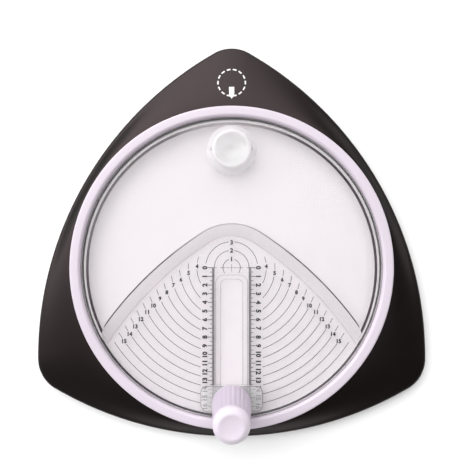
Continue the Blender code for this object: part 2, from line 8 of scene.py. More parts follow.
import bmesh
import bpy
from bpy.props import FloatProperty, FloatVectorProperty, IntProperty, PointerProperty
from mathutils import Matrix, Vector


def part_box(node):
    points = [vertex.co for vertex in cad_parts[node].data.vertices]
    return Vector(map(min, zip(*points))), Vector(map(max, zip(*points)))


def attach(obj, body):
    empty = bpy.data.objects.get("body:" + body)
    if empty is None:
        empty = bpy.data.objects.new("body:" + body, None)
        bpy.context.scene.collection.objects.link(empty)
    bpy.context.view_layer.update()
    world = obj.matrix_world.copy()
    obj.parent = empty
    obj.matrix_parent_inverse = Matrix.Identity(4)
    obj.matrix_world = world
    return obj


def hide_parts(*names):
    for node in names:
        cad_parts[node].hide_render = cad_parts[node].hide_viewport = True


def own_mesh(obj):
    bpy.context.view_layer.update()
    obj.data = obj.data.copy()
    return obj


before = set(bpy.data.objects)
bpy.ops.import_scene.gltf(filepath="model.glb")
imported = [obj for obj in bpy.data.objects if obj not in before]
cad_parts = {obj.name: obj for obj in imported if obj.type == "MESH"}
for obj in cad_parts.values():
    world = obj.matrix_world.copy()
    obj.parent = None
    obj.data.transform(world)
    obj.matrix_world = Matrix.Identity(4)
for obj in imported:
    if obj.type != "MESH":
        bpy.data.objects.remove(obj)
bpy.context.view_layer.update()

bl_info = {
    "name": "Circle cutter",
    "version": (1, 0, 0),
    "blender": (4, 5, 0),
    "location": "3D View > Sidebar > Circle cutter",
    "description": "Builds the looks of a desk circle cutter around its packed frame",
    "category": "Add Mesh",
}

MM = 0.001


def middle(node):
    low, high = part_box(node)
    return (low + high) / 2


def half_width(node):
    low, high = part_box(node)
    return (high.x - low.x) / 2


AXIS = Vector((0.0, middle("bearing_ring").y, 0.0))
SEAT_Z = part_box("cutting_mat")[1].z
RING_OUTER, FLANGE_OUTER = half_width("bearing_ring"), half_width("clear_disc")
RING_BOTTOM, RING_TOP = (corner.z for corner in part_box("bearing_ring"))
DISC_BOTTOM, PLATEAU_TOP = (corner.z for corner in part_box("clear_disc"))
FINGER_CENTRE = middle("finger_knob")
BLADE_CENTRE = middle("press_handle")
SIDES = 192
LIGHT = 2.6  # brightness of the studio's brightest side
WELD = 0.002 * MM  # points nearer than this become one
REBATE_START = -3.0  # mm from the axis to where the room under the slot's edges begins
INK = 0.04 * MM  # thickness of the print
DIM = 0.07  # what is left of the studio's light on its dark sides


# ---- properties ----


def length(name, description, size):
    return FloatProperty(name=name, description=description, default=size * MM, unit="LENGTH")


def hue(name, description, tone):
    return FloatVectorProperty(name=name, description=description, subtype="COLOR", size=3, default=tone)


class CutterSizes(bpy.types.PropertyGroup):
    """Sizes of the visible shapes that the frame's boxes don't give."""

    side_reach: length("Side reach", "Axis to the middle of a side", 100.7)
    corner_reach: length("Corner reach", "Axis to the tip of a corner", 129.6)
    side_radius: length("Side radius", "Radius of a bowed side", 207.6)
    corner_radius: length("Corner radius", "Radius of a round corner", 20.9)
    edge_top: length("Edge height", "Height of the base at its edge", 7.6)
    window_floor: length("Window floor", "Height of the printed floor", 15.5)
    line_width: length("Line width", "Width of a printed line", 0.30)
    scale_step: length("Scale step", "Radius from one circle to the next", 5.0)
    flutes: IntProperty(name="Flutes", description="Flutes round the grip", default=24, min=8, max=60)


class CutterColours(bpy.types.PropertyGroup):
    """Colours of the plastics, the print and the floor."""

    charcoal: hue("Charcoal", "Base plastic", (0.0042, 0.0027, 0.0027))
    lilac: hue("Lilac", "Ring and cap plastic", (0.63, 0.565, 0.64))
    # painted shade: the grip is the lilac darkened for the shade on its upright fluted sides
    grip: hue("Grip", "Fluted grip plastic", (0.525, 0.455, 0.55))
    clear: hue("Clear", "Tint of the clear plastic", (1.0, 0.99, 0.995))
    mat: hue("Mat", "Cutting mat", (0.705, 0.66, 0.687))
    ink: hue("Ink", "Print on the disc", (0.012, 0.01, 0.011))
    floor: hue("Floor", "Floor under the tool", (0.95, 0.95, 0.95))


# ---- materials ----


def add_node(tree, kind, settings=None, links=None):
    """A node with its socket values and the sockets that feed it."""
    node = tree.nodes.new(kind)
    for name, value in (settings or {}).items():
        if name in node.inputs:
            node.inputs[name].default_value = value
        else:
            setattr(node, name, value)
    for name, source in (links or {}).items():
        tree.links.new(source, node.inputs[name])
    return node


def ranged(tree, value, ends=(0.0, 1.0), results=(0.0, 1.0), **settings):
    """A value carried over from one range to another."""
    settings.update({"From Min": ends[0], "From Max": ends[1], "To Min": results[0], "To Max": results[1]})
    return add_node(tree, "ShaderNodeMapRange", settings, {"Value": value}).outputs["Result"]


def maths(tree, operation, *values):
    """What a maths node makes of sockets and plain numbers."""
    node = add_node(tree, "ShaderNodeMath", {"operation": operation})
    for socket, value in zip(node.inputs, values):
        if isinstance(value, float):
            socket.default_value = value
        else:
            tree.links.new(value, socket)
    return node.outputs[0]


def combined(tree, settings=None, **axes):
    """A vector of sockets."""
    return add_node(tree, "ShaderNodeCombineXYZ", settings, axes).outputs[0]


def feed(tree, socket, source):
    """Links a source to one of the shader's sockets."""
    tree.links.new(source, tree.nodes["Principled BSDF"].inputs[socket])


def object_place(tree):
    return add_node(tree, "ShaderNodeTexCoord").outputs["Object"]


def noise(tree, place, scale, detail):
    settings = {"Scale": scale, "Detail": detail}
    return add_node(tree, "ShaderNodeTexNoise", settings, {"Vector": place}).outputs["Fac"]


def new_material(name):
    """A material with its tree and shader."""
    material = bpy.data.materials.new(name)
    material.use_nodes = True
    return material, material.node_tree, material.node_tree.nodes["Principled BSDF"]


def set_sockets(shader, **values):
    for socket, value in values.items():
        shader.inputs[socket.replace("_", " ")].default_value = value


def toned(tree, share, one, two):
    """Mixes two colours into the shader's base colour."""
    mix = add_node(tree, "ShaderNodeMix", {"data_type": "RGBA"}, {"Factor": share})
    mix.inputs[6].default_value = (*one, 1.0)
    mix.inputs[7].default_value = (*two, 1.0)
    feed(tree, "Base Color", mix.outputs[2])


def bumped(tree, height, strength, distance):
    """Lifts the surface by a height socket."""
    bump = add_node(tree, "ShaderNodeBump", {"Strength": strength, "Distance": distance}, {"Height": height})
    feed(tree, "Normal", bump.outputs["Normal"])


def new_finish(name, colour, roughness, spread=0.04, patch=90.0, grain=0.0, grain_scale=2600.0, **sockets):
    """A moulded finish: colour and gloss drift a little over the surface, and a fine grain lifts it."""
    material, tree, shader = new_material(name)
    set_sockets(shader, **sockets)
    place = object_place(tree)
    drift = noise(tree, place, patch, 3.0)
    gloss = ranged(tree, drift, results=(max(roughness - spread, 0.0), roughness + spread))
    feed(tree, "Roughness", gloss)
    toned(tree, drift, [c * 0.965 for c in colour], [min(c * 1.035, 1.0) for c in colour])
    if grain:
        bumped(tree, noise(tree, place, grain_scale, 2.0), grain, 0.05 * MM)
    return material


def brushed_finish(name, colour, roughness, along):
    """Bright steel with fine lines left by grinding or drawing along one axis."""
    material, tree, shader = new_material(name)
    set_sockets(shader, Metallic=1.0)
    place = object_place(tree)
    stretch = [900.0 if axis == along else 9000.0 for axis in range(3)]
    lines = add_node(tree, "ShaderNodeMapping", {"Scale": stretch}, {"Vector": place}).outputs["Vector"]
    grain = noise(tree, lines, 1.0, 4.0)
    gloss = ranged(tree, grain, results=(roughness - 0.08, roughness + 0.12))
    feed(tree, "Roughness", gloss)
    toned(tree, grain, [c * 0.88 for c in colour], colour)
    bumped(tree, grain, 0.25, 0.02 * MM)
    return material


def clear_finish(name, colour, roughness, veil, ior=2.7):
    """Clear plastic as a thin veil that closes and shines more where it is seen edge on."""
    material = new_finish(name, colour, roughness, 0.004, 20.0, IOR=ior)
    tree = material.node_tree
    facing = add_node(tree, "ShaderNodeLayerWeight", {"Blend": 0.5}).outputs["Facing"]
    alpha = ranged(tree, facing, (0.5, 0.97), (veil, 0.5))
    feed(tree, "Alpha", alpha)
    return material


def charcoal_finish(name, colour):
    """Dark plastic that shines on its gentle slopes and hardly at all on its steep flanks."""
    material = new_finish(name, colour, 0.32, 0.03, 60.0, 0.08, 1800.0, Specular_Tint=(1.0, 0.8, 0.82, 1.0))
    tree = material.node_tree
    normal = add_node(tree, "ShaderNodeNewGeometry").outputs["Normal"]
    upright = add_node(tree, "ShaderNodeSeparateXYZ", links={"Vector": normal}).outputs["Z"]
    shine = ranged(tree, upright, (0.7, 0.9), (0.05, 0.36))
    feed(tree, "Specular IOR Level", shine)
    return material


def glass_finish(name, colour, roughness, spread):
    """Clear plastic that bends light, for the narrow facets at the moulded edges."""
    return new_finish(name, colour, roughness, spread, 50.0, Transmission_Weight=1.0, IOR=1.46)


def edge_finish(name):
    """Clear plastic at a moulded edge, tinted dark as painted shade for the dark lines seen there: pale near
    the middle line, darker out along the arms and the rim.
    """
    material = glass_finish(name, (1.0, 1.0, 1.0), 0.1, 0.03)
    tree = material.node_tree
    place = object_place(tree)
    across = add_node(tree, "ShaderNodeSeparateXYZ", links={"Vector": place}).outputs["X"]
    arms = ranged(tree, maths(tree, "ABSOLUTE", across), (6 * MM, 34 * MM))
    flat = {"Location": (0.0, -AXIS.y, 0.0), "Scale": (1.0, 1.0, 0.0)}
    centred = add_node(tree, "ShaderNodeMapping", flat, {"Vector": place}).outputs["Vector"]
    reach = add_node(tree, "ShaderNodeVectorMath", {"operation": "LENGTH"}, {0: centred}).outputs["Value"]
    rim = ranged(tree, reach, (82 * MM, 84 * MM))
    toned(tree, maths(tree, "MAXIMUM", arms, rim), (0.42, 0.38, 0.40), (0.02, 0.015, 0.018))
    return material


FINISHES = {}


def finish(name):
    """The named finish, made the first time it is asked for."""
    if name in FINISHES:
        return FINISHES[name]
    tint = bpy.context.scene.cutter_colours
    makers = {
        "charcoal": (charcoal_finish, tint.charcoal),
        "cover_black": (new_finish, (0.012, 0.011, 0.011), 0.55, 0.06, 80.0, 0.5, 1500.0),
        "lilac": (new_finish, tint.lilac, 0.44, 0.04, 70.0, 0.06, 2400.0),
        # painted shade: the lilac darkened for the grip's upright sides
        "grip_lilac_painted_shade": (new_finish, tint.grip, 0.42, 0.05, 90.0, 0.15, 2400.0),
        "clear": (clear_finish, tint.clear, 0.05, 0.04),
        # painted light: clear plastic clouded white so the shoe and keeper read bright over the print
        "clear_shoe_painted_light": (clear_finish, (0.98, 0.96, 0.98), 0.12, 0.22, 1.45),
        # painted shade: a grey veil for clear faces that tilt, on the step's slope and the knob's sloped ring
        "clear_slope_painted_shade": (clear_finish, (0.78, 0.74, 0.765), 0.09, 0.24),
        # painted shade: grey glass for the thin line at the foot of the step's slope
        "clear_foot_painted_shade": (glass_finish, (0.62, 0.57, 0.60), 0.08, 0.02),
        # painted shade: dark edge glass for the dark lines along the moulded edges
        "clear_edge_painted_shade": (edge_finish,),
        # painted light: clear plastic clouded white so the knob and its washer read as bright as the lit
        # clear knob
        "clear_knob_painted_light": (clear_finish, (0.97, 0.96, 0.975), 0.30, 0.26),
        "white_mat": (new_finish, tint.mat, 0.55, 0.05, 120.0, 0.3, 1600.0),
        "rubber": (new_finish, (0.02, 0.02, 0.021), 0.8, 0.08, 200.0, 0.6, 2200.0),
        "steel": (brushed_finish, (0.66, 0.66, 0.68), 0.3, 2),
        "blade_steel": (brushed_finish, (0.76, 0.76, 0.78), 0.24, 0),
        "scale_ink": (new_finish, tint.ink, 0.5, 0.05, 300.0),
        "badge_white": (new_finish, (0.85, 0.84, 0.85), 0.5, 0.05, 300.0),
    }
    make, *settings = makers[name]
    FINISHES[name] = make(name, *settings)
    return FINISHES[name]


def dress(node, name):
    """Gives a CAD node one of the finishes."""
    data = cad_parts[node].data
    data.materials.clear()
    data.materials.append(finish(name))


# ---- meshes ----


def placed(name, data):
    """An object linked into the scene."""
    made = bpy.data.objects.new(name, data)
    bpy.context.scene.collection.objects.link(made)
    return made


def shape_of(source):
    """The evaluated shape of an object as a mesh of its own."""
    bpy.context.view_layer.update()
    return bpy.data.meshes.new_from_object(source.evaluated_get(bpy.context.evaluated_depsgraph_get()))


def from_bmesh(name, bm, material, sharp=30.0):
    """A finished piece from a bmesh, smooth but for the edges that turn more than sharp degrees."""
    bmesh.ops.remove_doubles(bm, verts=bm.verts, dist=WELD)
    bmesh.ops.recalc_face_normals(bm, faces=bm.faces)
    mesh = bpy.data.meshes.new(name)
    bm.to_mesh(mesh)
    bm.free()
    mesh.shade_smooth()
    mesh.set_sharp_from_angle(angle=math.radians(sharp))
    mesh.materials.append(finish(material))
    return placed(name, mesh)


def baked(name, source, material, sharp=30.0):
    """The evaluated shape of an object as a plain mesh at the origin; the object and its helpers go."""
    shape = shape_of(source)
    shape.transform(source.matrix_world)
    for modifier in source.modifiers:
        if modifier.type == "BOOLEAN":
            bpy.data.objects.remove(modifier.object)
    bpy.data.objects.remove(source)
    bm = bmesh.new()
    bm.from_mesh(shape)
    bpy.data.meshes.remove(shape)
    for face in bm.faces:
        face.material_index = 0
    return from_bmesh(name, bm, material, sharp)


def joined(name, pieces, material):
    """Several pieces of one body as one mesh."""
    bm = bmesh.new()
    for piece in pieces:
        bm.from_mesh(piece.data)
        bpy.data.objects.remove(piece)
    return from_bmesh(name, bm, material)


def loft(name, loops, material, sharp=30.0):
    """A solid through loops of as many points each, capped at both ends."""
    bm = bmesh.new()
    rows = [[bm.verts.new(point) for point in loop] for loop in loops]
    count = len(rows[0])
    for low, high in zip(rows, rows[1:]):
        for i in range(count):
            j = (i + 1) % count
            bm.faces.new((low[i], low[j], high[j], high[i]))
    bm.faces.new(list(reversed(rows[0])))
    bm.faces.new(rows[-1])
    return from_bmesh(name, bm, material, sharp)


def turned(name, profile, material, centre=AXIS, sides=SIDES, closed=False, sharp=30.0):
    """A (radius, height) profile, in mm down its outer side, turned about an upright axis."""
    bm = bmesh.new()
    points = [bm.verts.new((radius * MM, 0.0, height * MM)) for radius, height in profile]
    edges = [bm.edges.new(pair) for pair in zip(points, points[1:])]
    if closed:
        edges.append(bm.edges.new((points[-1], points[0])))
    bmesh.ops.spin(bm, geom=points + edges, axis=(0, 0, 1), angle=math.tau, steps=sides, use_merge=True)
    bmesh.ops.translate(bm, verts=bm.verts, vec=(centre[0], centre[1], 0.0))
    return from_bmesh(name, bm, material, sharp)


def slab(name, outline, bottom, top, material="clear"):
    """A flat outline given a thickness, in metres."""
    return loft(name, [[(x, y, height) for x, y in outline] for height in (bottom, top)], material)


def pocket(name, shape, levels):
    """A cutter with the plan of a round-cornered slot, through (height, outwards) levels in mm."""
    half, front, back, corner = shape
    loops = []
    for height, out in levels:
        outline = rounded_box((half + out) * MM, (front - out) * MM, (back + out) * MM, (corner + out) * MM)
        loops.append([(x, y, height * MM) for x, y in outline])
    return loft(name, loops, "clear")


def tube(name, radius, bottom, top, centre, sides=48, tip=None):
    """An upright cylinder or cone for cutting and joining."""
    upper = radius if tip is None else tip
    profile = [(0.0, top / MM), (upper / MM, top / MM), (radius / MM, bottom / MM), (0.0, bottom / MM)]
    return turned(name, profile, "clear", centre, sides)


def boolean(piece, operation, helper):
    """Adds an exact Boolean, done when the piece is baked."""
    modifier = piece.modifiers.new(operation.lower(), "BOOLEAN")
    modifier.operation = operation
    modifier.solver = "EXACT"
    modifier.object = helper


def cut(piece, *helpers):
    for helper in helpers:
        boolean(piece, "DIFFERENCE", helper)


def lay_on(piece, under, lift):
    """Drops a flat print onto the surface of another piece."""
    surface = under.evaluated_get(bpy.context.evaluated_depsgraph_get())
    for vertex in piece.data.vertices:
        start = Vector((vertex.co.x, vertex.co.y, 0.05))
        hit, place, _, _ = surface.ray_cast(start, Vector((0, 0, -1)))
        if not hit:
            raise RuntimeError(f"{piece.name} is not over {under.name}")
        vertex.co.z = place.z + lift + vertex.co.z


def facet_finishes(piece, rules):
    """Gives the faces that look up within a tilt range, in degrees, and above a height another finish, which
    lays painted shade on tilted clear faces.
    """
    for name, low, high, floor in rules:
        piece.data.materials.append(finish(name))
        slot = len(piece.data.materials) - 1
        for face in piece.data.polygons:
            tilt = math.degrees(math.acos(max(-1.0, min(1.0, face.normal.z))))
            if low <= tilt <= high and face.center.z > floor:
                face.material_index = slot


def arc(centre, radius, start, end, steps):
    """Points on an arc, its last one left to what follows."""
    turns = [start + (end - start) * k / steps for k in range(steps)]
    return [(centre[0] + radius * math.cos(t), centre[1] + radius * math.sin(t)) for t in turns]


def rounded_box(half, front, back, corner):
    """A rectangle with round corners, from x -half to half and front to back along -Y from the axis."""
    places = [
        (half - corner, -front - corner, 0.0), (-half + corner, -front - corner, 0.5 * math.pi),
        (-half + corner, -back + corner, math.pi), (half - corner, -back + corner, 1.5 * math.pi),
    ]
    points = []
    for x, y, start in places:
        end = start + 0.5 * math.pi
        points += arc((x, y), corner, start, end, 8) + arc((x, y), corner, end, end, 1)
    return [(x, y + AXIS.y) for x, y in points]


# ---- geometry nodes ----


def node_tree(name, inputs):
    """A new geometry tree with named inputs. Gives the tree, its input node and each input's identifier."""
    tree = bpy.data.node_groups.new(name, "GeometryNodeTree")
    tree.interface.new_socket("Geometry", in_out="INPUT", socket_type="NodeSocketGeometry")
    sockets = {
        label: tree.interface.new_socket(label, in_out="INPUT", socket_type="NodeSocket" + kind).identifier
        for label, kind in inputs.items()
    }
    tree.interface.new_socket("Geometry", in_out="OUTPUT", socket_type="NodeSocketGeometry")
    return tree, tree.nodes.new("NodeGroupInput"), sockets


def end_tree(tree, given, instances):
    """Ends a tree in Realize Instances and Set Material."""
    real = add_node(tree, "GeometryNodeRealizeInstances", links={"Geometry": instances})
    links = {"Geometry": real.outputs["Geometry"], "Material": given.outputs["Material"]}
    painted = add_node(tree, "GeometryNodeSetMaterial", links=links)
    add_node(tree, "NodeGroupOutput", links={"Geometry": painted.outputs["Geometry"]})


def grown(name, tree, sockets, values, material, points=()):
    """Runs a tree on a bare point mesh and keeps the result as a plain piece."""
    mesh = bpy.data.meshes.new(name)
    mesh.from_pydata(points, [], [])
    holder = placed(name + "_points", mesh)
    modifier = holder.modifiers.new("grow", "NODES")
    modifier.node_group = tree
    modifier[sockets["Material"]] = finish(material)
    for label, value in values.items():
        modifier[sockets[label]] = value
    return baked(name, holder, material)


def tick_tree():
    """Upright ticks in a row towards -Y: every Pitch, from Inner to Outer in x."""
    kinds = {"Count": "Int", "Start": "Vector", "Material": "Material"}
    kinds.update({name: "Float" for name in ("Pitch", "Inner", "Outer", "Width")})
    tree, given, sockets = node_tree("tick_row", kinds)
    values = given.outputs
    step = combined(tree, Y=maths(tree, "MULTIPLY", values["Pitch"], -1.0))
    links = {"Count": values["Count"], "Start Location": values["Start"], "Offset": step}
    row = add_node(tree, "GeometryNodeMeshLine", links=links).outputs[0]
    long = maths(tree, "SUBTRACT", values["Outer"], values["Inner"])
    centre = maths(tree, "MULTIPLY", maths(tree, "ADD", values["Outer"], values["Inner"]), 0.5)
    size = combined(tree, {"Z": INK}, X=long, Y=values["Width"])
    tick = add_node(tree, "GeometryNodeMeshCube", links={"Size": size}).outputs["Mesh"]
    links = {"Geometry": tick, "Translation": combined(tree, X=centre)}
    moved = add_node(tree, "GeometryNodeTransform", links=links).outputs[0]
    ticks = add_node(tree, "GeometryNodeInstanceOnPoints", links={"Points": row, "Instance": moved})
    end_tree(tree, given, ticks.outputs["Instances"])
    return tree, sockets


def copies_tree():
    """A copy of Piece on every point, each turned by Turn more than the last."""
    kinds = {"Piece": "Object", "Turn": "Float", "Material": "Material"}
    tree, given, sockets = node_tree("copies_on_points", kinds)
    piece = add_node(tree, "GeometryNodeObjectInfo", links={"Object": given.outputs["Piece"]})
    index = add_node(tree, "GeometryNodeInputIndex").outputs[0]
    links = {
        "Points": given.outputs["Geometry"],
        "Instance": piece.outputs["Geometry"],
        "Rotation": combined(tree, Z=maths(tree, "MULTIPLY", index, given.outputs["Turn"])),
    }
    copied = add_node(tree, "GeometryNodeInstanceOnPoints", links=links)
    end_tree(tree, given, copied.outputs["Instances"])
    return tree, sockets


def copies(name, piece, points, turn, material):
    """A copy of a piece on every point, each turned more than the last; the piece itself goes."""
    tree, sockets = copies_tree()
    made = grown(name, tree, sockets, {"Piece": piece, "Turn": turn}, material, points)
    bpy.data.objects.remove(piece)
    return made


# ---- shared shapes ----


def around(angle, reach):
    """The place at a reach from the axis."""
    return Vector((reach * math.cos(angle), reach * math.sin(angle) + AXIS.y))


def base_outline(inset=0.0):
    """The base's edge about the axis, moved inwards by inset."""
    sizes = bpy.context.scene.cutter_sizes
    side_centre = sizes.side_radius - sizes.side_reach
    corner_centre = sizes.corner_reach - sizes.corner_radius
    end_x, end_y = corner_centre * math.cos(math.radians(60)), corner_centre * math.sin(math.radians(60))
    half_turn = math.atan2(end_y, side_centre + end_x)
    points = []
    for angle in (math.radians(90 + 120 * k) for k in range(3)):
        turn = math.radians(60) - half_turn
        centre = (corner_centre * math.cos(angle), corner_centre * math.sin(angle))
        points += arc(centre, sizes.corner_radius - inset, angle - turn, angle + turn, 36)
        side = angle + math.radians(60)
        centre = (-side_centre * math.cos(side), -side_centre * math.sin(side))
        points += arc(centre, sizes.side_radius - inset, side - half_turn, side + half_turn, 72)
    return points


def at_height(outline, height, share=0.0, radius=0.0):
    """The outline about the axis at a height, each point moved a share of the way to a circle."""
    loop = []
    for x, y in outline:
        reach = math.hypot(x, y)
        scale = (reach + (radius - reach) * share) / reach
        loop.append((x * scale, y * scale + AXIS.y, height))
    return loop


def screw_piece(shank, head, long, head_height):
    """A pan-head screw with a cross recess, face down: its head ends at the origin and its shank runs up."""
    profile = [
        (0.0, 0.0), (head * 0.55, -0.02), (head * 0.9, -head_height * 0.35), (head, -head_height * 0.7),
        (head, -head_height), (shank, -head_height), (shank, -long + 0.4), (shank * 0.6, -long),
        (0.0, -long),
    ]
    body = turned("screw_body", profile, "steel", (0, 0), 32)
    for k in range(2):
        bm = bmesh.new()
        size = Vector((head * 1.15, head * 0.24, head_height * 0.9)) * MM
        turn = Matrix.Rotation(k * math.pi / 2, 4, "Z")
        bmesh.ops.create_cube(bm, size=1.0, matrix=turn @ Matrix.Diagonal((*size, 1)))
        cut(body, from_bmesh("cross", bm, "steel"))
    made = baked("screw", body, "steel")
    made.data.transform(Matrix.Rotation(math.pi, 4, "X"))
    return made


def screws_at(name, nodes, sizes, turn):
    """Screws of one size where the CAD nodes have theirs, each turned more than the last."""
    places = [(middle(n).x, middle(n).y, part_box(n)[0].z) for n in nodes]
    return copies(name, screw_piece(*sizes), places, turn, "steel")


# ---- operators ----


class BuildPiece:
    """What every operator here shares."""

    bl_options = {"REGISTER", "UNDO"}

    def execute(self, context):
        self.build(context.scene.cutter_sizes)
        return {"FINISHED"}


class CUTTER_OT_base(BuildPiece, bpy.types.Operator):
    """Build the bowed three-cornered base with its cover, screws, feet and mat"""

    bl_idname = "cutter.base"
    bl_label = "Base"

    def build(self, sizes):
        edge, seat = sizes.edge_top, SEAT_Z
        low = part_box("base_shell")[0].z
        fillet, recess = 2.0 * MM, 3.6 * MM
        foot = [(2.4, 0.2), (2.2, 0.0), (0.9, 0.0), (0.3, 0.25), (0.0, 0.8)]
        loops = [at_height(base_outline(2.4 * MM), recess)]
        loops += [at_height(base_outline(inset * MM), low + rise * MM) for inset, rise in foot]
        for k in range(7):
            turn = k / 6 * math.radians(82)
            inset, rise = fillet * (1 - math.cos(turn)), fillet * math.sin(turn)
            loops.append(at_height(base_outline(inset), edge - fillet + rise))
        shoulder = base_outline(fillet)
        for k in range(1, 13):
            share = k / 12
            height = edge + (seat - edge) * (1 - (1 - share) ** 1.6)
            loops.append(at_height(shoulder, height, share, 94.0 * MM))
        for radius, height in ((86.9, seat), (86.6, seat - 0.3 * MM), (86.6, seat - 2.4 * MM)):
            loops.append(at_height(shoulder, height, 1.0, radius * MM))
        shell = loft("base_body", loops, "charcoal", sharp=35.0)
        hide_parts("base_shell")
        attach(shell, "base")
        dress("base_plate", "cover_black")
        dress("cutting_mat", "white_mat")

        nodes = [f"base_screw_{k}" for k in range(1, 7)]
        screws = screws_at("cover_screws", nodes, (1.1, 2.4, 5.6, 0.8), 0.7)
        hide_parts(*nodes)
        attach(screws, "base")

        nodes = [f"rubber_foot_{k}" for k in (1, 2, 3)]
        profile = [(0, 1.2), (7.2, 1.2), (7.15, 0.5), (6.8, 0.12), (6.3, 0.0), (4.9, 0.0), (4.7, 0.15)]
        profile += [(0, 0.15)]
        pads = [turned("pad", profile, "rubber", middle(n), 48) for n in nodes]
        feet = joined("rubber_feet", pads, "rubber")
        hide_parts(*nodes)
        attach(feet, "base")


class CUTTER_OT_badge(BuildPiece, bpy.types.Operator):
    """Print the small white sign of a cut circle on the top corner"""

    bl_idname = "cutter.badge"
    bl_label = "Badge"

    def build(self, sizes):
        centre = Vector((0.0, AXIS.y + 108.0 * MM))
        radius = 8.0 * MM
        bm = bmesh.new()
        size = Vector((0.8 * MM, 2.2 * MM, 0.05 * MM))
        bmesh.ops.create_cube(bm, size=1.0, matrix=Matrix.Diagonal((*size, 1.0)))
        dash = from_bmesh("dash", bm, "badge_white")
        count = 14
        turns = [math.tau * k / count for k in range(count)]
        spots = [(centre.x + radius * math.cos(t), centre.y + radius * math.sin(t), 0.0) for t in turns]
        ring = copies("dashes", dash, spots, math.tau / count, "badge_white")
        tip = [(0.0, -2.1), (1.5, 0.4), (1.5, 5.0), (-1.5, 5.0), (-1.5, 0.4)]
        outline = [(centre.x + x * MM, centre.y - radius + (y + 0.4) * MM) for x, y in tip]
        blade = slab("blade_sign", outline, -0.025 * MM, 0.025 * MM, "badge_white")
        badge = joined("badge_print", [ring, blade], "badge_white")
        lay_on(badge, bpy.data.objects["base_body"], 0.03 * MM)
        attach(badge, "base")


class CUTTER_OT_ring(BuildPiece, bpy.types.Operator):
    """Build the lilac bearing ring and the screws of the thin ring under it"""

    bl_idname = "cutter.ring"
    bl_label = "Bearing ring"

    def build(self, sizes):
        outer, top, low = RING_OUTER / MM, RING_TOP / MM, RING_BOTTOM / MM
        bore, lip, groove = 86.9, low + 1.8, FLANGE_OUTER / MM + 0.4
        profile = [
            (88.15, top - 0.02), (88.5, top), (outer - 1.1, top), (outer - 0.75, top - 0.06),
            (outer - 0.35, top - 0.25), (outer - 0.1, top - 0.6), (outer, top - 1.0), (outer, low + 0.25),
            (outer - 0.25, low), (groove, low), (groove, lip), (bore, lip), (bore, top - 1.25),
            (bore + 0.15, top - 0.95), (bore + 0.35, top - 0.75),
        ]
        ring = turned("lilac_ring", profile, "lilac", sides=256, closed=True, sharp=40.0)
        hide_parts("bearing_ring")
        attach(ring, "frame")
        dress("retainer_ring", "lilac")
        nodes = [f"ring_screw_{k}" for k in range(1, 7)]
        screws = screws_at("frame_screws", nodes, (0.6, 0.72, 4.0, 0.4), 0.5)
        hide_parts(*nodes)
        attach(screws, "frame")


def step_line(outwards):
    """The chevron of the step about the axis, moved outwards from the slope's foot."""
    nose_y, nose_radius, arm_radius, turn = 18.5 * MM, 23.5 * MM, 200.0 * MM, math.radians(32.8)
    nose = (0.0, nose_y - nose_radius)
    right = math.pi / 2 - turn
    reach = nose_radius - arm_radius
    arm = (nose[0] + reach * math.cos(right), nose[1] + reach * math.sin(right))
    half = arc(arm, arm_radius + outwards, right - math.radians(32), right, 36)
    half += arc(nose, nose_radius + outwards, right, math.pi / 2, 28)
    return half + [(0.0, nose[1] + nose_radius + outwards)] + [(-x, y) for x, y in reversed(half)]


def step_room(name, inside, levels, limit):
    """The room on one side of the step, through (height, outwards) levels, kept within a limit."""
    far = (-150 if inside else 150) * MM
    loops = []
    for height, outwards in levels:
        line = step_line(outwards)
        ends = [(-150 * MM, line[-1][1]), (-150 * MM, far), (150 * MM, far), (150 * MM, line[0][1])]
        loops.append([(x, y + AXIS.y, height) for x, y in line + ends])
    room = loft(name, loops, "clear")
    boolean(room, "INTERSECT", limit)
    return baked(name, room, "clear")


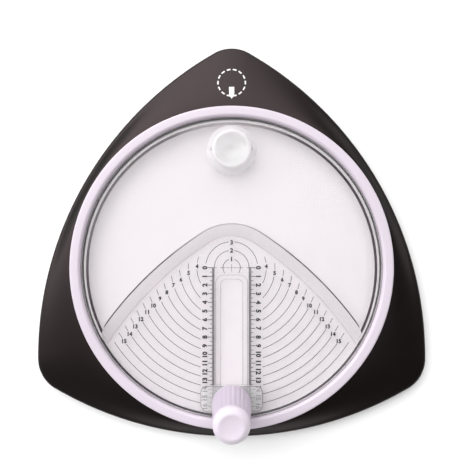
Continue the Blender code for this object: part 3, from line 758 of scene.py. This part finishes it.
class CUTTER_OT_disc(BuildPiece, bpy.types.Operator):
    """Build the clear disc with its plateau, bowed step, window, rim and slot"""

    bl_idname = "cutter.disc"
    bl_label = "Clear disc"

    def build(self, sizes):
        top, low, window = PLATEAU_TOP, DISC_BOTTOM, sizes.window_floor
        top_mm, low_mm, floor_mm = top / MM, low / MM, window / MM
        rim, flange, flange_low = 86.4, FLANGE_OUTER / MM, RING_BOTTOM / MM
        flange_top = flange_low + 1.5
        profile = [
            (0.0, top_mm), (77.0, top_mm), (79.5, top_mm - 0.06), (81.5, top_mm - 0.28),
            (83.1, top_mm - 0.66), (84.45, top_mm - 1.5), (86.1, top_mm - 1.5), (rim, top_mm - 1.8),
            (rim, flange_top), (flange, flange_top), (flange, flange_low), (rim, flange_low), (rim, low_mm),
            (0.0, low_mm),
        ]
        disc = turned("clear_window_disc", profile, "clear", sides=256)
        run = 6.7 * MM
        slope = run / (top - window)
        levels = [
            (window, -0.35 * MM), (window + 0.10 * MM, 0.0), (top - 0.18 * MM, run - 0.3 * MM),
            (top, run + 0.4 * MM), (top + MM, run + 0.4 * MM + 4 * MM),
        ]
        under = floor_mm - 1.0
        limit = [(0.0, 24.0), (86.0, 24.0), (85.0, 18.15), (84.3, 17.45), (84.3, under), (0.0, under)]
        limit = turned("low_limit", limit, "clear", sides=256)
        cut(disc, step_room("low_room", True, levels, limit))
        ceiling = top - 2.2 * MM
        start = 0.3 * MM - MM * slope
        levels = [(low - MM, start), (ceiling, 0.3 * MM + (ceiling - low) * slope)]
        limit = tube("limit", 84.2 * MM, 0, 24 * MM, AXIS, 256)
        cut(disc, step_room("plateau_room", False, levels, limit))
        ledge = floor_mm - 0.6
        levels = [(ledge, 0.0), (floor_mm - 0.35, 0.0), (floor_mm + 0.05, 0.4), (30.0, 0.4)]
        cut(disc, pocket("track", (9.1, 4.4, 83.7, 4.6), levels))
        levels = [(10.0, 0.0), (ledge - 0.3, 0.0), (ledge + 0.05, 0.35), (30.0, 0.35)]
        cut(disc, pocket("slot", (6.3, 6.8, 83.0, 3.0), levels))
        rebate = [(-11.4, -83.3), (11.4, -83.3), (11.4, REBATE_START), (-11.4, REBATE_START)]
        rebate = [(x * MM, y * MM + AXIS.y) for x, y in rebate]
        cut(disc, slab("rebate", rebate, 10 * MM, 14.1 * MM))
        stem = (FINGER_CENTRE.x, FINGER_CENTRE.y)
        cut(disc, tube("stem_hole", 3.4 * MM, 16 * MM, 24 * MM, stem))
        disc = baked("clear_window_disc", disc, "clear", sharp=9.0)
        # painted shade: the step's slope, foot, crest and steep edges are greyed and darkened by how far they
        # tilt
        slope, edge = ("clear_slope_painted_shade", 26.0, 36.0, 0.0), ("clear_edge_painted_shade", 37.0, 62.0, 0.0)
        foot, crest = ("clear_foot_painted_shade", 10.0, 25.0, 0.0), ("clear_edge_painted_shade", 10.0, 25.0, window + MM)
        facet_finishes(disc, (slope, foot, crest, edge))
        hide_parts("clear_disc")
        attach(disc, "disc")


def label(text, height, place, turn=0.0):
    """A printed figure of a given height, centred on a place and turned."""
    curve = bpy.data.curves.new("figure", "FONT")
    curve.body = text
    curve.size = 1.0
    curve.resolution_u = 3
    curve.offset = 0.05
    holder = placed("figure", curve)
    mesh = shape_of(holder)
    bpy.data.objects.remove(holder)
    xs, ys = [v.co.x for v in mesh.vertices], [v.co.y for v in mesh.vertices]
    scale = height / (max(ys) - min(ys))
    back = Matrix.Translation((-(max(xs) + min(xs)) / 2, -(max(ys) + min(ys)) / 2, 0.0))
    turned_to = Matrix.Rotation(turn, 4, "Z") @ Matrix.Diagonal((scale, scale, scale, 1.0)) @ back
    mesh.transform(Matrix.Translation(place) @ turned_to)
    bm = bmesh.new()
    bm.from_mesh(mesh)
    bpy.data.meshes.remove(mesh)
    bmesh.ops.remove_doubles(bm, verts=bm.verts, dist=WELD)
    lifted = bmesh.ops.extrude_face_region(bm, geom=bm.faces[:])
    points = [v for v in lifted["geom"] if isinstance(v, bmesh.types.BMVert)]
    bmesh.ops.translate(bm, verts=points, vec=(0, 0, INK))
    return from_bmesh("figure", bm, "scale_ink")


def printed_arc(radius, start, end, width, height):
    """A printed line along part of a circle, angles in degrees."""
    steps = max(3, int(abs(end - start) * radius / MM / 45))
    rows = []
    for k in range(steps + 1):
        angle = math.radians(start + (end - start) * k / steps)
        inner, outer = around(angle, radius - width / 2), around(angle, radius + width / 2)
        corners = [(inner, height), (outer, height), (outer, height + INK), (inner, height + INK)]
        rows.append([(p.x, p.y, z) for p, z in corners])
    return loft("line", rows, "scale_ink")


def printed_bar(low, high, height):
    """A straight printed line as a thin block between two corners about the axis, in mm."""
    (x0, y0), (x1, y1) = low, high
    outline = [(x * MM, y * MM + AXIS.y) for x, y in ((x0, y0), (x1, y0), (x1, y1), (x0, y1))]
    return slab("bar", outline, height, height + INK, "scale_ink")


class CUTTER_OT_print(BuildPiece, bpy.types.Operator):
    """Print the size circles, rulers and figures on the window's floor"""

    bl_idname = "cutter.print"
    bl_label = "Printed scale"

    # where the figures from 4 to 15 stand, in degrees
    LABEL_ANGLES = (177.6, 187.0, 193.2, 196.8, 200.8, 203.3, 205.9, 207.7, 209.6, 211.4, 213.1, 214.4)

    def build(self, sizes):
        height = sizes.window_floor + 0.01 * MM
        step, line = sizes.scale_step, sizes.line_width
        lines, figures = [], []
        for n, low in ((1, -38.0), (2, 0.0), (3, 8.5)):
            gap = math.degrees(1.55 * MM / (n * step))
            for start, end in ((low, 90 - gap), (90 + gap, 180 - low)):
                lines.append(printed_arc(n * step, start, end, line, height))
            place = (0.0, AXIS.y + n * step - (0.4 * MM if n == 3 else 0.0), height)
            figures.append(label(str(n), 2.7 * MM, place))
        for n in range(4, 17):
            radius = n * step
            last = math.degrees(math.asin(17.9 * MM / radius))
            if n < 16:
                middle_at = self.LABEL_ANGLES[n - 4] - 180
                gap = math.degrees(2.05 * MM / radius)
                tail = math.degrees(5.6 * MM / radius)
                spans = [(middle_at - tail, middle_at - gap), (middle_at + gap, 90 - last)]
                for degrees in (180 + middle_at, -middle_at):
                    place = around(math.radians(degrees), radius)
                    figures.append(label(str(n), 2.5 * MM, (place.x, place.y, height)))
            else:
                spans = [(32.4, 90 - last)]
            for start, end in spans:
                lines.append(printed_arc(radius, 180 + start, 180 + end, line, height))
                lines.append(printed_arc(radius, -end, -start, line, height))
        for n in range(17):
            y = AXIS.y - n * step
            for side in (-1, 1):
                figures.append(label(str(n), 3.0 * MM, (side * 15.45 * MM, y, height), -side * math.pi / 2))
        for start, end in ((-10.0, -8.5), (-6.6, -3.5), (-2.8, -1.4), (1.4, 2.8), (3.5, 6.6), (8.5, 10.0)):
            lines.append(printed_bar((start, -0.12), (end, 0.12), height))
        lines.append(printed_bar((-1.0, -0.1), (1.0, 0.1), height + 0.001 * MM))
        lines.append(printed_bar((-0.1, -2.3), (0.1, 2.1), height))

        tree, sockets = tick_tree()
        rows = (
            ("fine", 161, 0.5, 11.3, 0.34, 0.0, 0.022),
            ("half", 16, 5.0, 12.4, 0.34, 2.5, 0.03),
            ("whole", 17, 5.0, 13.7, 0.36, 0.0, 0.03),
        )
        foot = 9.9
        for name, count, pitch, tip, width, first, lift in rows:
            for inner, outer in ((-tip, -foot), (foot, tip)):
                values = {"Pitch": pitch * MM, "Inner": inner * MM, "Outer": outer * MM, "Width": width * MM}
                values.update(Count=count, Start=(0.0, AXIS.y - first * MM, height + lift * MM))
                lines.append(grown(f"{name}_ticks", tree, sockets, values, "scale_ink"))
        scale = joined("scale_lines", lines, "scale_ink")
        digits = joined("scale_figures", figures, "scale_ink")
        for piece in (scale, digits):
            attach(piece, "disc")


class CUTTER_OT_finger_knob(BuildPiece, bpy.types.Operator):
    """Build the dished finger knob that turns the disc, with its washer"""

    bl_idname = "cutter.finger_knob"
    bl_label = "Finger knob"

    def build(self, sizes):
        top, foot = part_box("finger_knob")[1].z / MM, PLATEAU_TOP / MM + 0.3
        profile = [
            (0.0, top - 2.4), (2.5, top - 2.3), (5.0, top - 1.95), (7.0, top - 1.4), (8.3, top - 0.7),
            (8.9, top - 0.22), (9.4, top - 0.03), (9.9, top), (10.4, top - 0.1), (10.9, top - 0.5),
            (12.0, top - 2.2), (13.3, foot + 1.6), (14.0, foot + 0.6), (14.2, foot), (3.0, foot),
            (3.0, 17.1), (2.3, 17.0), (2.3, 16.0), (3.0, 15.8), (2.4, 15.0), (0.0, 15.0),
        ]
        knob = turned("dished_knob", profile, "clear_knob_painted_light", FINGER_CENTRE, 128, sharp=40.0)
        # painted shade: the knob's sloped ring is greyed by its tilt
        facet_finishes(knob, (("clear_slope_painted_shade", 42.0, 80.0, 0.0),))
        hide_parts("finger_knob")
        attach(knob, "finger_knob")
        profile = [(5.2, 16.9), (5.4, 16.7), (5.4, 16.2), (2.6, 16.2), (2.6, 16.9)]
        washer = turned("stem_washer", profile, "clear_knob_painted_light", FINGER_CENTRE, 64, closed=True)
        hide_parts("finger_washer")
        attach(washer, "finger_knob")
        marks = []
        for side, end in ((-1, -1), (-1, 1), (1, -1), (1, 1)):
            tip, tail = Vector((side * 12.0, 0.0)), Vector((side * 11.2, end * 0.8))
            along = (tail - tip).normalized()
            across = Vector((-along.y, along.x)) * 0.11
            corners = [tip + across, tip - across, tail - across, tail + across]
            outline = [(FINGER_CENTRE.x + c.x * MM, FINGER_CENTRE.y + c.y * MM) for c in corners]
            marks.append(slab("mark", outline, 0.0, 0.03 * MM, "scale_ink"))
        arrows = joined("turn_arrows", marks, "scale_ink")
        lay_on(arrows, knob, 0.015 * MM)
        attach(arrows, "finger_knob")


class CUTTER_OT_slider(BuildPiece, bpy.types.Operator):
    """Build the clear slider, the keeper under it, its screws and the spring"""

    bl_idname = "cutter.slider"
    bl_label = "Slider"

    def build(self, sizes):
        low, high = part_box("slider_shoe")
        bottom, top = sizes.window_floor + 0.3 * MM, 17.6 * MM
        blade_y = BLADE_CENTRE.y
        centre = (BLADE_CENTRE.x, blade_y)
        front, back = -(high.y - AXIS.y), 82.4 * MM
        rim = [(bottom / MM, 0.0), (17.2, 0.0), (17.6, -0.4)]
        shoe = pocket("clear_slider", (17.8, front / MM, back / MM, 3.6), rim)
        runner = rounded_box(8.7 * MM, 68.7 * MM, -(low.y - AXIS.y), 4.4 * MM)
        boolean(shoe, "UNION", slab("runner", runner, 15.2 * MM, bottom + 0.8 * MM))
        tongue = rounded_box(5.9 * MM, 71.2 * MM, 82.4 * MM, 3.0 * MM)
        boolean(shoe, "UNION", slab("tongue", tongue, low.z, bottom + 0.6 * MM))
        boolean(shoe, "UNION", tube("tower", 5.4 * MM, top - MM, high.z, centre, 64))
        steps = [(0.0, 40.0), (4.6, 40.0), (4.6, 24.5), (2.7, 24.5), (2.7, 18.3), (4.0, 18.3)]
        steps += [(4.0, 10.0), (0.0, 10.0)]
        cut(shoe, turned("stepped_bore", steps, "clear", centre, 64))
        shoe = baked("clear_slider", shoe, "clear_shoe_painted_light", sharp=20.0)
        # painted shade: the shoe's steep edges get the dark edge glass
        facet_finishes(shoe, (("clear_edge_painted_shade", 37.0, 62.0, 0.0),))
        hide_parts("slider_shoe")
        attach(shoe, "carriage")

        low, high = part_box("slider_keeper")
        outline = rounded_box(11.0 * MM, -(high.y - AXIS.y), -(low.y - AXIS.y), 2.5 * MM)
        keeper = slab("clear_keeper", outline, low.z, high.z)
        cut(keeper, tube("keeper_bore", 4.4 * MM, 10 * MM, 20 * MM, centre))
        keeper = baked("clear_keeper", keeper, "clear_shoe_painted_light")
        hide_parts("slider_keeper")
        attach(keeper, "carriage")

        nodes = ["keeper_screw_1", "keeper_screw_2"]
        screws = screws_at("keeper_screws", nodes, (0.5, 0.65, 3.5, 0.4), 0.4)
        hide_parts(*nodes)
        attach(screws, "carriage")

        low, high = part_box("return_spring")
        wire, turns, steps = 0.38 * MM, 5, 32
        reach = (high.x - low.x) / 2 - wire - 0.02 * MM
        curve = bpy.data.curves.new("coil", "CURVE")
        curve.dimensions = "3D"
        curve.bevel_depth = wire
        curve.bevel_resolution = 3
        curve.use_fill_caps = True
        spline = curve.splines.new("POLY")
        spline.points.add(turns * steps)
        for k, point in enumerate(spline.points):
            turn = math.tau * k / steps
            height = low.z + wire * 1.3 + (high.z - low.z - wire * 2.6) * k / (turns * steps)
            point.co = (centre[0] + reach * math.cos(turn), blade_y + reach * math.sin(turn), height, 1.0)
        spring = baked("coil_spring", placed("coil", curve), "steel", sharp=60.0)
        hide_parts("return_spring")
        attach(spring, "carriage")
        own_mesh(spring)


class CUTTER_OT_press_knob(BuildPiece, bpy.types.Operator):
    """Build the fluted grip and its domed cap, and finish the rod, blade and screws inside"""

    bl_idname = "cutter.press_knob"
    bl_label = "Press knob"

    def build(self, sizes):
        start, end = (corner.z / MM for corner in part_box("press_handle"))
        foot, rim = half_width("press_handle") / MM, half_width("handle_cap") / MM
        centre = (BLADE_CENTRE.x, BLADE_CENTRE.y)
        sections = [
            (start, foot - 0.6, 0.0), (start + 0.15, foot - 0.25, 0.0), (start + 0.5, foot - 0.04, 0.1),
            (start + 1.2, foot - 0.06, 0.6), (start + 2.2, foot - 0.1, 1.0), (start + 12, foot - 0.58, 1.0),
            (end - 10, rim + 0.4, 1.0), (end - 1.8, rim - 0.02, 1.0), (end - 1.0, rim - 0.01, 0.5),
            (end - 0.4, rim - 0.02, 0.0), (end, rim - 0.25, 0.0),
        ]
        count, flute = sizes.flutes * 12, 0.38
        loops = []
        for height, radius, depth in sections:
            loop = []
            for k in range(count):
                turn = math.tau * k / count
                groove = max(0.0, math.cos(sizes.flutes * turn)) ** 1.5
                reach = (radius - flute * depth * groove) * MM
                x, y = centre[0] + reach * math.cos(turn), centre[1] + reach * math.sin(turn)
                loop.append((x, y, height * MM))
            loops.append(loop)
        grip = loft("fluted_grip", loops, "grip_lilac_painted_shade", sharp=50.0)
        tower_room = tube("tower_room", 9.4 * MM, 18 * MM, 37 * MM, centre, 64, 7.4 * MM)
        screw_way = tube("screw_way", 1.5 * MM, 36 * MM, 42 * MM, centre, 24)
        cut(grip, tower_room, screw_way, tube("top_room", 7.2 * MM, 40 * MM, 60 * MM, centre, 64))
        grip = baked("fluted_grip", grip, "grip_lilac_painted_shade", sharp=40.0)
        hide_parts("press_handle")
        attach(grip, "press")

        peak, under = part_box("handle_cap")[1].z / MM, end + 0.3
        profile = [
            (0.0, peak - 0.55), (2.5, peak - 0.5), (4.4, peak - 0.34), (5.4, peak - 0.14),
            (6.1, peak - 0.02), (6.5, peak), (7.1, peak - 0.16), (7.9, peak - 0.6), (8.7, peak - 1.35),
            (9.3, peak - 2.3), (9.6, peak - 3.2), (rim, peak - 4.1), (rim, under + 0.25),
            (rim - 0.2, under), (6.8, under), (6.8, under - 3.3), (5.4, under - 3.3), (5.4, under + 1.3),
            (0.0, under + 1.3),
        ]
        cap = turned("domed_cap", profile, "lilac", centre, 128, sharp=40.0)
        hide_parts("handle_cap")
        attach(cap, "press")
        dress("blade_holder", "lilac")
        dress("blade", "blade_steel")
        dress("blade_screw", "steel")
        dress("handle_screw", "steel")


class CUTTER_OT_stage(BuildPiece, bpy.types.Operator):
    """Set the pale floor, the soft studio light and the camera straight above"""

    bl_idname = "cutter.stage"
    bl_label = "Stage"

    def build(self, sizes):
        scene = bpy.context.scene
        tint = scene.cutter_colours
        floor = slab("floor", [(-40, -40), (40, -40), (40, 40), (-40, 40)], -0.01, 0.0, "white_mat")
        pale, _, shader = new_material("pale_floor")
        set_sockets(shader, Base_Color=(*tint.floor, 1.0), Roughness=0.9, Specular_IOR_Level=0.1)
        floor.data.materials[0] = pale

        world = bpy.data.worlds.new("studio")
        scene.world = world
        world.use_nodes = True
        tree = world.node_tree
        background = tree.nodes["Background"]
        heading = add_node(tree, "ShaderNodeTexCoord").outputs["Generated"]
        parts = add_node(tree, "ShaderNodeSeparateXYZ", links={"Vector": heading})
        soft_box = 1.0
        for axis, start, end in (("Y", -0.24, 0.06), ("X", 0.50, 0.14), ("Z", 0.15, 0.45)):
            ends, results = ((start, end), (DIM, 1.0)) if start < end else ((end, start), (1.0, DIM))
            fade = ranged(tree, parts.outputs[axis], ends, results, interpolation_type="SMOOTHSTEP")
            soft_box = maths(tree, "MULTIPLY", soft_box, fade)
        glow = ranged(tree, parts.outputs["Z"], (0.24, 0.48), (1.0 / LIGHT, 0.0))
        tree.links.new(maths(tree, "ADD", soft_box, glow), background.inputs["Color"])
        background.inputs["Strength"].default_value = LIGHT

        lamp = bpy.data.lights.new("key", "AREA")
        lamp.shape = "RECTANGLE"
        lamp.size, lamp.size_y = 1.2, 1.0
        lamp.energy = 4.0
        key = placed("key", lamp)
        key.location = (-0.55, 0.55, 0.95)
        key.rotation_euler = (-key.location).to_track_quat("-Z", "Y").to_euler()

        data = bpy.data.cameras.new("above")
        data.sensor_width = 36.0
        data.lens = 42.93
        data.clip_start, data.clip_end = 0.01, 10.0
        camera = placed("above", data)
        camera.location = (0.5 * MM, AXIS.y + 20.3 * MM, 335.3 * MM)
        scene.camera = camera
        scene.view_settings.view_transform = "Standard"


OPERATORS = (
    CUTTER_OT_base, CUTTER_OT_badge, CUTTER_OT_ring, CUTTER_OT_disc, CUTTER_OT_print,
    CUTTER_OT_finger_knob, CUTTER_OT_slider, CUTTER_OT_press_knob, CUTTER_OT_stage,
)


class CUTTER_PT_panel(bpy.types.Panel):
    """Lists the builders of the circle cutter's pieces"""

    bl_idname = "CUTTER_PT_panel"
    bl_label = "Circle cutter"
    bl_space_type = "VIEW_3D"
    bl_region_type = "UI"
    bl_category = "Circle cutter"

    def draw(self, context):
        for operator in OPERATORS:
            self.layout.operator(operator.bl_idname)
        for group in (context.scene.cutter_sizes, context.scene.cutter_colours):
            column = self.layout.column()
            for name in group.__annotations__:
                column.prop(group, name)


CLASSES = (CutterSizes, CutterColours, *OPERATORS, CUTTER_PT_panel)


def register():
    for made in CLASSES:
        bpy.utils.register_class(made)
    bpy.types.Scene.cutter_sizes = PointerProperty(type=CutterSizes)
    bpy.types.Scene.cutter_colours = PointerProperty(type=CutterColours)


def unregister():
    del bpy.types.Scene.cutter_colours
    del bpy.types.Scene.cutter_sizes
    for made in reversed(CLASSES):
        bpy.utils.unregister_class(made)


def main():
    register()
    for operator in OPERATORS:
        group, name = operator.bl_idname.split(".")
        getattr(getattr(bpy.ops, group), name)()


if __name__ == "__main__":
    main()
